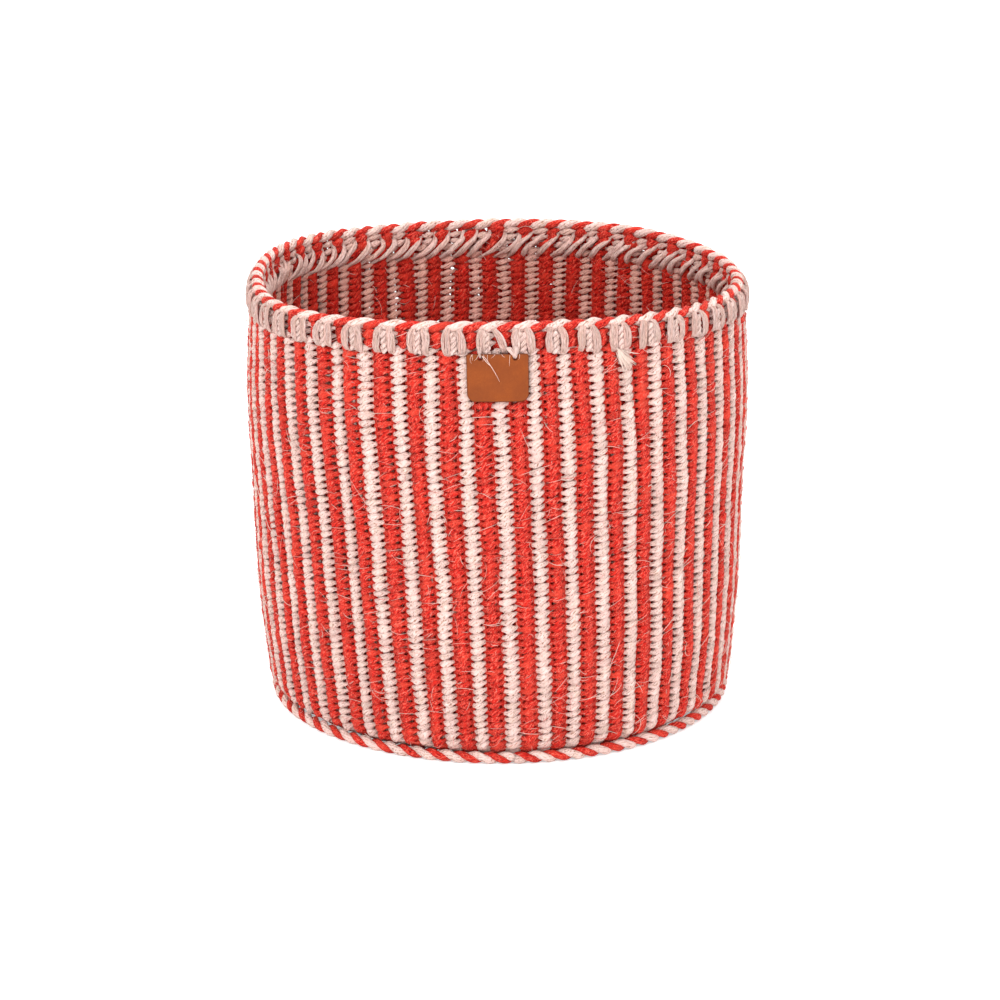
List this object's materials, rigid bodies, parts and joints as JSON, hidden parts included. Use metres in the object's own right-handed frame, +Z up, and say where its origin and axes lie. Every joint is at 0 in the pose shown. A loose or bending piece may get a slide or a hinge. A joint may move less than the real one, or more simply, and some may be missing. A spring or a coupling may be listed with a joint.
{
  "type": "kiondo basket",
  "caption": "Round open storage basket twined from natural and red sisal in narrow upright stripes, with a turned-down rim band, a braided bottom edge and a small hanging leather tag.",
  "frame": {"origin": "centre of the flat underside of the floor, on the surface that the basket stands on", "axes": "+Z up through the open mouth; -Y towards the front, where the leather tag hangs; +X to the right"},
  "size_m": [0.2462, 0.2526, 0.2161],
  "materials": {
    "warp_cord": "natural undyed two-ply sisal cord, matt, with stray fibres",
    "wall_stitches_outside": "columns of twined sisal stitches, natural (0.78, 0.66, 0.54) and red (0.70, 0.05, 0.03) in turn",
    "wall_and_floor_stitches_inside": "the same columns seen from inside, with the two colours swapped",
    "floor_stitches_under": "rounds of twined sisal stitches in natural and red",
    "natural_strand": "natural undyed two-ply sisal, matt",
    "red_strand": "red dyed two-ply sisal, matt",
    "tag_leather": "smooth tan leather, low sheen, bare",
    "tag_loop": "natural sisal stitch"
  },
  "bodies": {
    "basket": {"warp_cord_01": "warp_cord", "warp_cord_02": "warp_cord", "warp_cord_03": "warp_cord", "warp_cord_04": "warp_cord", "warp_cord_05": "warp_cord", "warp_cord_06": "warp_cord", "warp_cord_07": "warp_cord", "warp_cord_08": "warp_cord", "warp_cord_09": "warp_cord", "warp_cord_10": "warp_cord", "warp_cord_11": "warp_cord", "warp_cord_12": "warp_cord", "warp_cord_13": "warp_cord", "warp_cord_14": "warp_cord", "warp_cord_15": "warp_cord", "warp_cord_16": "warp_cord", "warp_cord_17": "warp_cord", "warp_cord_18": "warp_cord", "warp_cord_19": "warp_cord", "warp_cord_20": "warp_cord", "warp_cord_21": "warp_cord", "warp_cord_22": "warp_cord", "warp_cord_23": "warp_cord", "warp_cord_24": "warp_cord", "warp_cord_25": "warp_cord", "warp_cord_26": "warp_cord", "warp_cord_27": "warp_cord", "warp_cord_28": "warp_cord", "warp_cord_29": "warp_cord", "warp_cord_30": "warp_cord", "warp_cord_31": "warp_cord", "warp_cord_32": "warp_cord", "warp_cord_33": "warp_cord", "warp_cord_34": "warp_cord", "warp_cord_35": "warp_cord", "warp_cord_36": "warp_cord", "warp_cord_37": "warp_cord", "warp_cord_38": "warp_cord", "warp_cord_39": "warp_cord", "warp_cord_40": "warp_cord", "warp_cord_41": "warp_cord", "warp_cord_42": "warp_cord", "warp_cord_43": "warp_cord", "warp_cord_44": "warp_cord", "warp_cord_45": "warp_cord", "warp_cord_46": "warp_cord", "warp_cord_47": "warp_cord", "warp_cord_48": "warp_cord", "warp_cord_49": "warp_cord", "warp_cord_50": "warp_cord", "wall_stitches_outside": "wall_stitches_outside", "wall_and_floor_stitches_inside": "wall_and_floor_stitches_inside", "floor_stitches_under": "floor_stitches_under", "rim_strand_natural": "natural_strand", "rim_strand_red": "red_strand", "edge_strand_natural": "natural_strand", "edge_strand_red": "red_strand"},
    "tag": {"leather_tag": "tag_leather", "tag_loop_left": "tag_loop", "tag_loop_right": "tag_loop"}
  },
  "joints": [
    {"name": "tag_lift", "type": "hinge", "parent": "basket", "child": "tag", "pos_m": [-0.00109, -0.12477, 0.20187], "axis": [-1, 0, 0], "range_deg": [0, 90]}
  ]
}
